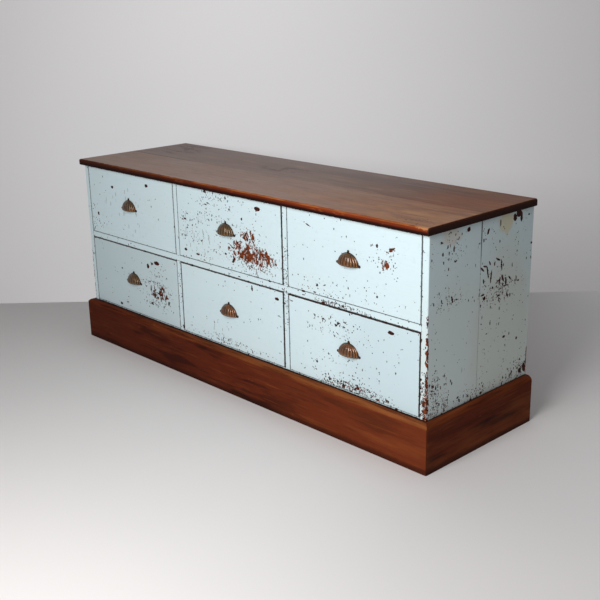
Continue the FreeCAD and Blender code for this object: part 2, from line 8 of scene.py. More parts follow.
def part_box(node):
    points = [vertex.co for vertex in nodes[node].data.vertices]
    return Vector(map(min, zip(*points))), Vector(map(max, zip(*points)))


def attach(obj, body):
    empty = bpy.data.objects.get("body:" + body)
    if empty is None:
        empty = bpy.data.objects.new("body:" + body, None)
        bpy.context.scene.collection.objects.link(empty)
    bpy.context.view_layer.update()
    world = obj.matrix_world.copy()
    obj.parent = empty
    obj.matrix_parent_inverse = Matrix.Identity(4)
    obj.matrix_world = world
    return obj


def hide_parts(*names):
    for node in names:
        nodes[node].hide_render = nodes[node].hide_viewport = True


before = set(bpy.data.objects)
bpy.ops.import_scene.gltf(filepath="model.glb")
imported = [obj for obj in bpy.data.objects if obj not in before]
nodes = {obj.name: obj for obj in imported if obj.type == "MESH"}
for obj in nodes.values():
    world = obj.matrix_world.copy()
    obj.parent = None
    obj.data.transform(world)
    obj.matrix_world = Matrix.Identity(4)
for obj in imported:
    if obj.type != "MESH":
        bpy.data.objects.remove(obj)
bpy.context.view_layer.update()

# Lengths are metres. X runs along the front of the chest, Y from front to back, Z up from the floor.

MM = 0.001
X_AXIS, Y_AXIS, Z_AXIS = 0, 1, 2

DRAWERS = [f"{row}_{column}_drawer" for row in ("upper", "lower") for column in ("left", "middle", "right")]

FRONT_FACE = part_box("middle_rail")[0].y
BACK_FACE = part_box("back_boards")[1].y
HALF_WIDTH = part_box("right_end_front_board")[1].x
END_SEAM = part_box("right_end_front_board")[1].y
TOP_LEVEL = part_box("top_front_board")[1].z
TOP_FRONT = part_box("top_front_board")[0].y
TOP_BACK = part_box("top_rear_board")[1].y
TOP_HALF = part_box("top_front_board")[1].x
PLINTH_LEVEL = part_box("plinth_front")[1].z
PLINTH_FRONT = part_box("plinth_front")[0].y
PLINTH_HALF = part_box("plinth_right")[1].x
LIPS = [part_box(f"{row}_left_drawer_pull")[0].z for row in ("upper", "lower")]


def rgb(red, green, blue):
    """A colour as it shows on screen, 0 to 255, as the linear colour that a socket holds"""
    linear = []
    for part in (red, green, blue):
        share = part / 255
        linear.append(share / 12.92 if share <= 0.04045 else ((share + 0.055) / 1.055) ** 2.4)
    return (*linear, 1.0)


# Camera at the photograph's viewing angle

CAMERA_PLACE = Vector((2.3836, -2.1715, 1.2974))
CAMERA_YAW = math.radians(46.541)
CAMERA_PITCH = math.radians(17.723)
CAMERA_ROLL = math.radians(-1.181)
CAMERA_LENS = 58.92
SENSOR = 36.0
NEAREST_SEEN = 0.05
FARTHEST_SEEN = 60


def add_camera():
    """Puts the camera in its place and gives back the way it looks"""
    level = math.cos(CAMERA_PITCH)
    forward = Vector((-math.sin(CAMERA_YAW) * level, math.cos(CAMERA_YAW) * level, -math.sin(CAMERA_PITCH)))
    right = forward.cross(Vector((0, 0, 1))).normalized()
    up = right.cross(forward)
    across = math.cos(CAMERA_ROLL) * right + math.sin(CAMERA_ROLL) * up
    upright = -math.sin(CAMERA_ROLL) * right + math.cos(CAMERA_ROLL) * up
    lens = bpy.data.cameras.new("camera")
    lens.sensor_width = SENSOR
    lens.lens = CAMERA_LENS
    lens.clip_start = NEAREST_SEEN
    lens.clip_end = FARTHEST_SEEN
    camera = bpy.data.objects.new("camera", lens)
    bpy.context.scene.collection.objects.link(camera)
    turn = Matrix((across, upright, -forward)).transposed().to_4x4()
    camera.matrix_world = Matrix.Translation(CAMERA_PLACE) @ turn
    bpy.context.scene.camera = camera
    return forward


# Finishes

# Shares of a cell's width
SMALLEST_FLECK = 0.14
FLECK_BLUR = 0.05


class Shade:
    """A socket of a finish, with Python's operators for sums of numbers"""

    def __init__(self, finish, socket):
        self.finish = finish
        self.socket = socket

    def __add__(self, other):
        return self.finish.maths("ADD", self, other)

    __radd__ = __add__

    def __sub__(self, other):
        return self.finish.maths("SUBTRACT", self, other)

    def __rsub__(self, other):
        return self.finish.maths("SUBTRACT", other, self)

    def __mul__(self, other):
        return self.finish.maths("MULTIPLY", self, other)

    __rmul__ = __mul__

    def __truediv__(self, other):
        return self.finish.maths("DIVIDE", self, other)

    def least(self, other):
        return self.finish.maths("MINIMUM", self, other)

    def most(self, other):
        return self.finish.maths("MAXIMUM", self, other)

    def size(self):
        return self.finish.maths("ABSOLUTE", self)

    def past(self, edge, blur):
        """0 below the edge and 1 from the edge plus the blur on, with a smooth step between"""
        return self.finish.node("ShaderNodeMapRange", {"interpolation_type": "SMOOTHSTEP"},
                                {"Value": self, "From Min": edge, "From Max": edge + blur})


class Finish:
    """A material built from Object coordinates"""

    def __init__(self, name):
        self.material = bpy.data.materials.new(name)
        self.material.use_nodes = True
        self.tree = self.material.node_tree
        self.shader = self.tree.nodes["Principled BSDF"]
        self.place = self.node("ShaderNodeTexCoord", out="Object")
        self.x, self.y, self.z = (self.node("ShaderNodeSeparateXYZ", values={0: self.place}, out=axis)
                                  for axis in "XYZ")

    def plug(self, node, values):
        """Links shades to a node's sockets and sets plain values on them"""
        for socket, value in values.items():
            if isinstance(value, Shade):
                self.tree.links.new(value.socket, node.inputs[socket])
            else:
                node.inputs[socket].default_value = value

    def node(self, kind, settings=None, values=None, out=0):
        """One shader node, with its settings and the values or links of its sockets"""
        made = self.tree.nodes.new(kind)
        for name, setting in (settings or {}).items():
            if name == "stops":
                ramp = made.color_ramp
                while len(ramp.elements) < len(setting):
                    ramp.elements.new(1.0)
                for element, (at, colour) in zip(ramp.elements, setting):
                    element.position = at
                    element.color = colour
            else:
                setattr(made, name, setting)
        self.plug(made, values or {})
        return Shade(self, made.outputs[out])

    def maths(self, operation, *values):
        return self.node("ShaderNodeMath", {"operation": operation}, dict(enumerate(values)))

    def vectors(self, operation, values, out=0):
        return self.node("ShaderNodeVectorMath", {"operation": operation}, values, out)

    def mix(self, low, high, share):
        """From one colour to another by a share"""
        return self.node("ShaderNodeMix", {"data_type": "RGBA"}, {0: share, 6: low, 7: high}, out=2)

    def layered(self, base, layers):
        """A colour with others over it in turn, each by its share"""
        for colour, share in layers:
            base = self.mix(base, colour, share)
        return base

    def stretched(self, scale, turn=(0.0, 0.0, 0.0), shift=(0.0, 0.0, 0.0), place=None):
        """Coordinates scaled axis by axis, after a turn"""
        values = {"Vector": place or self.place, "Scale": scale, "Rotation": turn, "Location": shift}
        return self.node("ShaderNodeMapping", values=values)

    def grain(self, axis, squeeze, shift=(0.0, 0.0, 0.0), place=None):
        """Coordinates squeezed along an axis, so that a noise is drawn out along the grain"""
        scale = tuple(squeeze if number == axis else 1.0 for number in range(3))
        return self.stretched(scale, shift=shift, place=place)

    def noise(self, place, scale, detail=3.0, rough=0.55, bend=0.0):
        values = {"Vector": place, "Scale": scale, "Detail": detail, "Roughness": rough, "Distortion": bend}
        return self.node("ShaderNodeTexNoise", values=values)

    def waver(self, scale, width):
        """A length that comes and goes over a width in millimetres"""
        return (self.noise(self.place, scale) - 0.5) * width * MM

    def ramp(self, share, stops):
        return self.node("ShaderNodeValToRGB", {"stops": stops}, {0: share})

    def jitter(self, place, scale, reach):
        """Coordinates pushed about by a noise, so that outlines come out ragged"""
        push = self.node("ShaderNodeTexNoise", values={"Vector": place, "Scale": scale, "Detail": 2.0}, out=1)
        centred = self.vectors("SUBTRACT", {0: push, 1: (0.5, 0.5, 0.5)})
        return self.vectors("ADD", {0: place, 1: self.vectors("SCALE", {0: centred, "Scale": reach})})

    def reach(self, centre, radii, turn, place=None):
        """How far out a point is in an ellipsoid: 0 at its centre and 1 on its surface"""
        values = {"Vector": place or self.place, "Location": centre, "Rotation": turn, "Scale": radii}
        local = self.node("ShaderNodeMapping", {"vector_type": "TEXTURE"}, values)
        return self.vectors("LENGTH", {0: local}, out=1)

    def inside(self, patches, blur, place=None):
        """1 well inside any of the patches, 0 outside them all"""
        nearest = functools.reduce(Shade.least, [self.reach(*patch, place=place) for patch in patches])
        return (1.0 - nearest).past(0.0, blur)

    def flecks(self, place, size, chance, biggest=0.5):
        """Small angular flecks: cells picked at random, each cut down to a size of its own"""
        cells = self.node("ShaderNodeTexVoronoi", values={"Vector": place, "Scale": 1 / size})
        voronoi = cells.socket.node
        pick = self.node("ShaderNodeSeparateXYZ", values={0: Shade(self, voronoi.outputs["Color"])})
        own = Shade(self, pick.socket.node.outputs["Y"])
        chosen = (pick + chance).past(1.0, 0.002)
        return chosen * (own * own * biggest + SMALLEST_FLECK - cells).past(0.0, FLECK_BLUR)

    def done(self, colour, roughness, height=None, rise=MM, more=None):
        """Gives the shader its colour, its roughness, bumps from a height and more values"""
        values = {"Base Color": colour, "Roughness": roughness, **(more or {})}
        if height:
            values["Normal"] = self.node("ShaderNodeBump", values={"Height": height, "Distance": rise})
        self.plug(self.shader, values)
        return self.material


SOFTWOOD_SHEEN = {"Specular IOR Level": 0.2}
BACK_BOARDS = 8
BACK_NAIL_LEVELS = (0.655, 0.395, 0.115)
BACK_NAIL_INSET = 0.2
BACK_NAIL_RADIUS = 3.2 * MM
RUST_RADIUS = 9 * MM

PAINT = rgb(206, 225, 230)
PAINT_SHADE = rgb(196, 214, 218)
PAINT_AGED = rgb(208, 212, 200)
GRIME = rgb(120, 116, 108)
GROUND_DARK = rgb(52, 23, 17)
GROUND_RED = rgb(116, 54, 27)
GROUND_PALE = rgb(150, 90, 50)
GROUND_GREY = rgb(140, 146, 144)
JOINT_DARK = rgb(38, 20, 17)
SEAM_DARK = rgb(58, 44, 40)
PAINT_DEPTH = 2.5 * MM
HOUSING_DEPTH = 7 * MM
SPARSE = 0.008
DENSE = 0.02


# A patch tells where wear lies: the middle of an ellipsoid, its half sizes and its turn. Half sizes are given
# in millimetres, and the one across the face is always the same
ACROSS_FACE = 1.0


def on_front(x, z, wide, tall, lean=0.0):
    return (x, FRONT_FACE, z), (wide * MM, ACROSS_FACE, tall * MM), (0.0, lean, 0.0)


def on_end(y, z, deep, tall, lean=0.0, face=HALF_WIDTH):
    return (face, y, z), (ACROSS_FACE, deep * MM, tall * MM), (lean, 0.0, 0.0)


def on_top(x, y, wide, deep, turn=0.0):
    return (x, y, TOP_LEVEL), (wide * MM, deep * MM, ACROSS_FACE), (0.0, 0.0, turn)


def on_arris(x, y, z, wide, deep, tall):
    """A patch on an edge between two faces"""
    return (x, y, z), (wide * MM, deep * MM, tall * MM), (0.0, 0.0, 0.0)


def touches(node, patch):
    """Whether a patch reaches a node's box"""
    low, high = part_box(node)
    centre, radii = patch[:2]
    spread = [radius if radius < ACROSS_FACE else 0.0 for radius in radii]
    return all(low[axis] - spread[axis] - MM <= centre[axis] <= high[axis] + spread[axis] + MM
               for axis in range(3))


def assign(material, *names):
    """Gives CAD nodes their material"""
    for name in names:
        mesh = nodes[name].data
        mesh.materials.clear()
        mesh.materials.append(material)


# Softwood


def bare_softwood(finish, along, place=None):
    """Colour and height of old unpainted softwood with its grain along an axis"""
    place = place or finish.place
    grown = finish.grain(along, 0.07, place=place)
    figure = finish.noise(grown, 9.0, 1.2, 0.45, 0.3)
    fibre = finish.noise(grown, 420.0)
    # The growth rings are the contours of the figure, as on a plain-sawn board
    rings = finish.maths("SINE", figure * 120.0 + fibre * 2.0) * 0.5 + 0.5
    cloud = finish.noise(place, 5.0, 4.0)
    wood = finish.ramp(rings, [(0.0, rgb(178, 142, 100)), (0.6, rgb(170, 132, 90)), (0.9, rgb(154, 115, 75)),
                               (1.0, rgb(146, 106, 68))])
    drawn = finish.grain(along, 0.45, place=place)
    knots = finish.node("ShaderNodeTexVoronoi", values={"Vector": drawn, "Scale": 5.5})
    wood = finish.layered(wood, [(rgb(118, 88, 62), fibre.past(0.42, 0.4) * 0.4),
                                 (rgb(110, 86, 66), cloud.past(0.45, 0.35) * 0.5),
                                 (rgb(74, 42, 24), (0.07 - knots).past(0.0, 0.03))])
    return wood, fibre * 0.4 + rings * 0.2


def softwood(name, along):
    finish = Finish(name)
    wood, height = bare_softwood(finish, along)
    return finish.done(wood, 0.72, height, 0.4 * MM, SOFTWOOD_SHEEN)


def back_finish():
    """Softwood boards that each come from another plank, nailed to the frame"""
    finish = Finish("softwood_back_boards")
    low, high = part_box("back_boards")
    width = (high.x - low.x) / BACK_BOARDS
    across = (finish.x - low.x) / width
    number = finish.maths("FLOOR", across)
    own = finish.node("ShaderNodeTexWhiteNoise", {"noise_dimensions": "1D"}, {"W": number}, out="Value")
    shift = finish.node("ShaderNodeCombineXYZ", values={"X": own, "Y": own * 7.0, "Z": own * 3.0})
    place = finish.vectors("ADD", {0: finish.place, 1: shift})
    wood, height = bare_softwood(finish, Z_AXIS, place)
    inside = across - number
    off_edge = inside.least(1.0 - inside)
    stain = finish.noise(finish.stretched((1.0, 1.0, 0.4)), 6.0, 4.0)
    damp_foot = (0.1 - finish.z).past(0.0, 0.1)
    level = functools.reduce(Shade.least, [(finish.z - row).size() for row in BACK_NAIL_LEVELS])
    beside = (off_edge - BACK_NAIL_INSET).size() * width
    off_nail = finish.maths("SQRT", level * level + beside * beside)
    nail_head = (1.0 - off_nail.past(BACK_NAIL_RADIUS, 0.6 * MM)) * finish.y.past(BACK_FACE - 3 * MM, MM)
    wood = finish.layered(wood, [
        (rgb(112, 88, 66), own * 0.5),
        (rgb(52, 36, 26), (1.0 - (off_edge * width).past(0.6 * MM, 1.6 * MM)) * 0.8),
        (rgb(84, 66, 54), (stain.past(0.5, 0.2) * 0.5).most(damp_foot * 0.7)),
        (rgb(70, 44, 30), (1.0 - off_nail.past(0.0, RUST_RADIUS)) * 0.6),
        (rgb(48, 36, 32), nail_head),
    ])
    return finish.done(wood, 0.75, height - nail_head * 0.6, 0.4 * MM, SOFTWOOD_SHEEN)


# Paint: pale blue over a dark red ground on softwood


def paint_colour(finish, brushed, mottled, stains_and_painted_shade):
    """Unbroken paint with its brush marks, ageing, grime and stains, and patches of painted shade"""
    cloud = finish.noise(finish.place, 4.5)
    layers = [(PAINT_SHADE, brushed.past(0.35, 0.4) * 0.2), (PAINT_AGED, cloud.past(0.45, 0.4) * 0.15),
              (GRIME, mottled.past(0.56, 0.25) * 0.1)]
    # Real stains, and patches of painted shade that are given as stains
    for patch, colour, strength in stains_and_painted_shade:
        stain_and_shade_blot = finish.inside([patch], 0.5, finish.jitter(finish.place, 34.0, 55 * MM))
        layers.append((colour, stain_and_shade_blot * strength))
    return finish.layered(PAINT, layers)


def ground_colour(finish, redness, shallow):
    """What shows where the paint is gone: dark to red, and grey where only the last coat went"""
    pale = finish.noise(finish.place, 200.0).past(0.56, 0.2)
    dark = finish.noise(finish.place, 230.0, 2.0).past(0.5, 0.1)
    return finish.layered(GROUND_DARK, [(GROUND_RED, redness), (GROUND_PALE, pale * redness * 0.7),
                                        (GROUND_DARK, dark * 0.8), (GROUND_GREY, shallow)])


def flecked(finish, fine, ragged, chance):
    """1 in flecks of four sizes and shapes"""
    standing = finish.stretched((1.0, 1.0, 0.5), place=fine)
    lying = finish.stretched((0.45, 0.45, 1.0), (0.3, 0.3, 0.3), place=ragged)
    small = finish.flecks(fine, 3.8 * MM, chance * 2.0)
    upright = finish.flecks(standing, 5.5 * MM, chance)
    level = finish.flecks(lying, 6.5 * MM, chance * 0.5)
    large = finish.flecks(ragged, 12 * MM, chance * 0.22)
    return small.most(upright).most(level).most(large)


def bare_behind_front(finish):
    """1 further back than a ragged line a little behind the front face"""
    return (finish.y + finish.waver(120.0, 2) - FRONT_FACE).past(PAINT_DEPTH, 0.4 * MM)


def bare_inside_end(finish):
    """1 on the inner face, the top and the foot of an end; the outer face and the front edge are painted"""
    depth = HALF_WIDTH - finish.x.size()
    ragged = finish.waver(120.0, 2)
    behind = (finish.y + ragged - FRONT_FACE).past(PAINT_DEPTH, 0.4 * MM)
    return (depth + ragged).past(3 * MM, 0.4 * MM) * behind


def painted(name, along, density, gaps, chips=(), flaking=(), specks=(), strokes=(), stains_and_painted_shade=(), seam=None,
            bare=bare_behind_front):
    """Worn paint

    density: share of flecks all over
    gaps: distance from an open joint, how dark it is
    chips: patches
    flaking: patch, how much is gone, how red it shows
    specks, strokes: patch, how many there are
    stains: patch, colour, strength; real stains, and painted shade on two drawer fronts
    seam, bare: 1 in an open seam, and where the wood was never painted
    """
    finish = Finish(name)
    place = finish.place
    ragged = finish.jitter(place, 260.0, 7 * MM)
    fine = finish.jitter(place, 600.0, 3.6 * MM)
    grown = finish.grain(along, 0.08)
    brushed = finish.noise(grown, 240.0)
    mottled = finish.noise(place, 60.0, 4.0)

    chance = density
    for patch, gain in specks:
        chance = chance + finish.inside([patch], 1.0) * gain
    chance = chance * (finish.noise(grown, 45.0, 2.0).past(0.42, 0.22) * 1.7 + 0.25)
    waver = finish.waver(130.0, 3.2)
    joints = []
    # Dark lines along the open joints: dirt, and painted shade in the gaps and under the overhanging top
    for gap, weight in gaps:
        distance = gap(finish)
        chance = chance + (5 * MM - distance).past(0.0, 5 * MM) * 0.2 * weight
        width = (0.6 + 2.6 * weight) * MM
        joints.append((width - distance - waver).past(0.0, 0.8 * MM) * min(0.4 + 0.6 * weight, 1.0))
    gone = flecked(finish, fine, ragged, chance)

    redness = finish.noise(place, 70.0).past(0.45, 0.25) * 0.4
    shallow = finish.noise(place, 34.0, 2.0).past(0.55, 0.1) * 0.5
    if chips:
        chipped = finish.inside(chips, 0.12, ragged)
        gone = gone.most(chipped)
        shallow = shallow * (1.0 - chipped)
    if flaking:
        drawn = finish.stretched((1.0, 1.0, 0.7), (0.0, 0.3, 0.0), place=fine)
        flake = finish.noise(drawn, 56.0, 4.0, 0.65, 1.6)
    for patch, gain, red in flaking:
        zone = finish.inside([patch], 0.6)
        gone = gone.most((flake + zone * gain).past(0.76, 0.02))
        redness = redness + zone.past(0.1, 0.3) * red
        shallow = shallow * (1.0 - zone)

    layers = [(GROUND_GREY, gone.past(0.02, 0.2) * 0.7),
              (ground_colour(finish, redness.least(1.0), shallow), gone.past(0.15, 0.25))]
    for patch, gain in strokes:
        thin = finish.stretched((1.0, 1.0, 0.2), (0.0, 0.45, 0.0), place=finish.jitter(place, 260.0, 2 * MM))
        scraped = finish.flecks(thin, 3.4 * MM, finish.inside([patch], 0.6) * gain, 0.42)
        layers.append((GROUND_GREY, scraped * 0.8))
    layers.append((JOINT_DARK, functools.reduce(Shade.most, joints)))
    if seam:
        layers.append((SEAM_DARK, seam(finish)))
    never = bare(finish)
    wood, wood_height = bare_softwood(finish, along)
    layers.append((finish.mix(wood, rgb(98, 64, 42), 0.65), never))
    colour = finish.layered(paint_colour(finish, brushed, mottled, stains_and_painted_shade), layers)
    rough = 0.5 + mottled * 0.2 + never * 0.2
    height = (1.0 - gone) * (1.0 - never) * 0.35 + brushed * 0.02 + wood_height * never * 0.5
    sheen = (1.0 - gone.past(0.0, 0.3)) * (1.0 - never) * 0.8
    more = {"Specular IOR Level": 0.08, "Coat Weight": sheen, "Coat Roughness": 0.45}
    return finish.done(colour, rough, height, 0.8 * MM, more)


def gaps_round(node, left=0, right=0, below=0, above=0):
    """Distances in from the sides of a node that have an open joint, each with how dark the joint is"""
    low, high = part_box(node)
    gaps = [(lambda finish: finish.x - low.x, left), (lambda finish: high.x - finish.x, right),
            (lambda finish: finish.z - low.z, below), (lambda finish: high.z - finish.z, above)]
    return [gap for gap in gaps if gap[1]]


def foot_gap(weight):
    """Distance up from the plinth, with how dark the joint above it is"""
    return (lambda finish: (finish.z - PLINTH_LEVEL).most(0.0), weight)


def end_seam(finish):
    """Open joint between the two boards of an end, widest at the top"""
    off = (finish.y - END_SEAM).size() + finish.waver(60.0, 1.5)
    wide = (finish.z - 0.52).past(0.0, 0.15) * 1.4 * MM + 1.1 * MM
    depth = 0.4 + (finish.z - 0.5).past(0.0, 0.12) * 0.5
    return (1.0 - (off - wide).past(0.0, 0.6 * MM)) * depth * finish.x.size().past(HALF_WIDTH - 3 * MM, MM)


FRONT_CHIPS = {
    "upper_left_drawer": [(-0.651, 0.613, 8, 5), (-0.435, 0.645, 9, 6), (-0.791, 0.438, 2, 12, 0.5)],
    "upper_middle_drawer": [(0.149, 0.648, 14, 7), (-0.004, 0.661, 4, 5), (-0.225, 0.455, 8, 5),
                            (-0.16, 0.449, 9, 4), (0.073, 0.605, 4, 5), (0.028, 0.463, 6, 13, 0.6)],
    "upper_right_drawer": [(0.68, 0.567, 8, 9), (0.697, 0.615, 13, 4, -0.5), (0.643, 0.617, 4, 6),
                           (0.407, 0.457, 4, 5), (0.644, 0.471, 4, 4), (0.373, 0.633, 12, 2, 0.3)],
    "lower_left_drawer": [(-0.457, 0.351, 8, 9), (-0.402, 0.371, 17, 8), (-0.646, 0.17, 8, 5)],
    "lower_middle_drawer": [(0.112, 0.386, 4, 10), (0.229, 0.375, 10, 5)],
    "lower_right_drawer": [(0.696, 0.377, 12, 6), (0.402, 0.215, 4, 4)],
}

# What else each drawer front shows, as painted() takes it
FRONT_WEAR = {
    "upper_left_drawer": {
        "specks": [(on_front(-0.78, 0.46, 80, 100), 0.06)],
        "strokes": [(on_front(-0.6, 0.52, 200, 130), 0.12)],
    },
    "upper_middle_drawer": {
        "flaking": [(on_front(0.118, 0.5, 185, 53, 0.06), 0.305, 1.0),
                    (on_front(0.104, 0.55, 60, 36), 0.27, 0.8),
                    (on_front(0.03, 0.512, 50, 25), 0.26, 0.8),
                    (on_front(0.11, 0.5, 200, 100), 0.15, 0.2)],
        "specks": [(on_front(-0.16, 0.52, 200, 150), 0.1), (on_front(0.0, 0.63, 220, 100), 0.14),
                   (on_front(0.118, 0.48, 200, 110), 0.32)],
        "strokes": [(on_front(-0.17, 0.5, 150, 100), 0.4)],
    },
    "upper_right_drawer": {
        "flaking": [(on_front(0.672, 0.566, 22, 26), 0.26, 1.0), (on_front(0.69, 0.605, 30, 25), 0.2, 0.5)],
        "specks": [(on_front(0.52, 0.44, 300, 60), 0.1), (on_front(0.66, 0.59, 80, 70), 0.12)],
    },
    "lower_left_drawer": {
        "flaking": [(on_front(-0.405, 0.262, 80, 55), 0.28, 0.3),
                    (on_front(-0.41, 0.262, 140, 100), 0.17, 0.0)],
        "specks": [(on_front(-0.41, 0.262, 150, 120), 0.18)],
        # Painted shade, given as a stain: this front is darker towards its left
        "stains_and_painted_shade": [(on_front(-0.66, 0.26, 620, 420), rgb(191, 208, 212), 1.0)],
    },
    "lower_middle_drawer": {
        "specks": [(on_front(0.0, 0.16, 300, 40), 0.35)],
        "strokes": [(on_front(-0.02, 0.19, 120, 60), 0.2)],
    },
    "lower_right_drawer": {
        "flaking": [(on_front(0.55, 0.15, 140, 40), 0.17, 0.3)],
        "specks": [(on_front(0.56, 0.158, 190, 60), 0.7), (on_front(0.52, 0.2, 220, 90), 0.1),
                   (on_front(0.5, 0.335, 200, 60), 0.12)],
        # Painted shade, given as a stain: this front is darker towards its right
        "stains_and_painted_shade": [(on_front(0.74, 0.26, 300, 420), rgb(194, 213, 218), 1.0)],
    },
}

# How dark the open joints of the DRAWERS are, with dirt and painted shade, in turn: on the left, on the
# right, below and above
JOINT_DIRT_AND_SHADE = [(0.25, 0.5, 0.3, 1.0), (0.12, 1.3, 0.4, 1.0), (0.25, 0.7, 0.2, 1.0),
              (0.25, 0.3, 0.7, 0.8), (1.2, 1.4, 0.7, 0.9), (0.5, 1.0, 0.6, 1.3)]

FRAME_SPECKS = [(on_front(0.52, 0.408, 150, 16), 0.9), (on_front(0.271, 0.42, 30, 200), 0.2),
                (on_front(-0.271, 0.3, 30, 200), 0.12)]
RAIL_FLAKING = [(on_front(0.5, 0.41, 200, 16), 0.2, 0.0)]

# Chips on the right end, then on the left one
END_CHIPS = [on_end(*chip) for chip in (
    (0.006, 0.536, 3, 15, 0.9), (0.02, 0.541, 3, 9, 1.25), (0.034, 0.522, 3.5, 22, 0.25),
    (0.051, 0.505, 3.5, 20, -0.1), (0.043, 0.546, 3, 8, 0.5), (0.066, 0.54, 3, 7, -0.3),
    (0.083, 0.549, 3, 13, 1.1), (0.1, 0.53, 3.5, 18, 0.15), (0.093, 0.483, 4.5, 10, -0.2),
    (0.108, 0.488, 4, 12, 0.5), (0.124, 0.476, 4, 13, 0.1), (0.143, 0.482, 3, 9, 0.8),
    (0.016, 0.498, 3, 8, 0.2), (0.176, 0.474, 2.5, 10, 0.1), (0.06, 0.47, 4, 4, 0.3),
    (0.176, 0.668, 13, 13), (0.157, 0.658, 9, 12, 0.3), (0.189, 0.655, 6, 15), (0.087, 0.655, 3, 9),
    (0.03, 0.64, 5, 10, -0.4), (0.022, 0.447, 7, 6), (-0.06, 0.662, 8, 7), (-0.17, 0.613, 4, 6),
    (-0.123, 0.62, 3, 9), (0.24, 0.176, 9, 16, 0.3), (0.218, 0.172, 8, 9, 0.8),
    (-0.125, 0.478, 4, 12, 0.3),
)]
END_CHIPS += [on_end(*chip, face=-HALF_WIDTH) for chip in ((-0.09, 0.52, 9, 14), (0.12, 0.31, 14, 6),
                                                           (0.06, 0.63, 5, 11))]
END_SPECKS = [
    (on_end(-0.15, 0.62, 100, 80), 0.1), (on_end(-0.13, 0.48, 100, 45), 0.24),
    (on_end(0.09, 0.455, 150, 50), 0.3), (on_end(-0.19, 0.2, 90, 120), 0.4),
    (on_end(-0.22, 0.19, 50, 100), 0.8), (on_end(0.21, 0.18, 80, 50), 0.5),
    (on_end(0.02, 0.165, 280, 35), 0.3), (on_end(0.015, 0.63, 30, 50), 0.2),
    (on_end(0.0, 0.18, 250, 60, face=-HALF_WIDTH), 0.3),
    (on_end(-0.1, 0.45, 120, 150, face=-HALF_WIDTH), 0.1),
]
END_FLAKING = [
    (on_arris(HALF_WIDTH, FRONT_FACE, 0.18, 22, 20, 100), 0.27, 0.4),
    (on_arris(HALF_WIDTH, FRONT_FACE, 0.36, 12, 11, 60), 0.35, 0.7),
    (on_arris(HALF_WIDTH, FRONT_FACE, 0.3, 11, 10, 320), 0.25, 0.4),
    (on_arris(-HALF_WIDTH, FRONT_FACE, 0.24, 8, 8, 200), 0.3, 0.8),
    (on_arris(HALF_WIDTH, BACK_FACE, 0.2, 9, 12, 70), 0.34, 0.6),
]
END_STAINS = [
    (on_end(0.116, 0.656, 42, 50), rgb(206, 198, 162), 0.8),
    (on_end(0.12, 0.28, 200, 400), rgb(200, 205, 196), 0.75),
    (on_end(-0.1, 0.28, 220, 360), rgb(202, 211, 207), 0.6),
    (on_end(-0.13, 0.655, 60, 30), rgb(206, 192, 174), 0.5),
]
# On both ends alike, so the patches have their middle halfway between the ends
END_STROKES = [(on_end(0.0, 0.62, 600, 100, face=0.0), 0.3), (on_end(0.05, 0.42, 500, 160, face=0.0), 0.22),
               (on_end(-0.1, 0.25, 400, 200, face=0.0), 0.25)]


def paint_fronts():
    for drawer, dirt_and_shade in zip(DRAWERS, JOINT_DIRT_AND_SHADE):
        node = f"{drawer}_front"
        chips = [on_front(*chip) for chip in FRONT_CHIPS[drawer]]
        gaps = gaps_round(node, *dirt_and_shade)
        assign(painted(f"paint_{drawer}", X_AXIS, SPARSE, gaps, chips, **FRONT_WEAR[drawer]), node)


def paint_frame():
    """Paint on the front edges of the rail, the carcass bottom and the partitions"""
    assign(painted("paint_rail", X_AXIS, DENSE, gaps_round("middle_rail", below=0.6, above=0.2),
                   flaking=RAIL_FLAKING, specks=FRAME_SPECKS), "middle_rail")
    assign(painted("paint_bottom_edge", X_AXIS, 0.08, [foot_gap(1.1)]), "carcass_bottom")
    for side in ("left", "right"):
        node = f"{side}_partition"
        gaps = gaps_round(node, left=0.6, right=0.25)
        assign(painted(f"paint_{node}", Z_AXIS, DENSE, gaps, specks=FRAME_SPECKS), node)


def paint_ends():
    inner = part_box("carcass_bottom")[1].x - HOUSING_DEPTH
    inner_gap = (lambda finish: (finish.x.size() - inner).most(0.0), 0.5)
    for side in ("left", "right"):
        for part, density in (("front", SPARSE), ("rear", DENSE)):
            node = f"{side}_end_{part}_board"
            chips = [chip for chip in END_CHIPS if touches(node, chip)]
            flaking, specks, stains_and_painted_shade = ([zone for zone in zones if touches(node, zone[0])]
                                       for zones in (END_FLAKING, END_SPECKS, END_STAINS))
            assign(painted(f"paint_{node}", Z_AXIS, density, [inner_gap, foot_gap(0.5)], chips, flaking,
                           specks, END_STROKES, stains_and_painted_shade, end_seam, bare_inside_end), node)


# Mahogany

# From the palest to the deepest
TOP_WOOD = (rgb(190, 140, 108), rgb(164, 124, 102), rgb(130, 98, 82), rgb(92, 64, 52))
PLINTH_WOOD = (rgb(112, 52, 25), rgb(88, 35, 17), rgb(64, 23, 12), rgb(32, 11, 7))


def mahogany(name, along, colours, streak, stretch):
    """A finish with the colour of mahogany, grained along an axis, and its figure, streaks and pores"""
    finish = Finish(name)
    pale, mid, dark, deep = colours
    waved = finish.jitter(finish.grain(along, stretch), 7.0, 0.03)
    figure = finish.noise(waved, 16.0, 4.0, 0.6, 0.4)
    streaks = finish.noise(waved, 110.0, 4.0, 0.65)
    pores = finish.noise(finish.grain(along, 0.03), 800.0, 2.0)
    wood = finish.ramp(figure, [(0.25, dark), (0.45, mid), (0.62, mid), (0.8, pale)])
    wood = finish.layered(wood, [(deep, streaks.past(0.45, 0.4) * 0.55 * streak),
                                 (deep, pores.past(0.56, 0.12) * 0.45)])
    return finish, wood, figure, streaks, pores


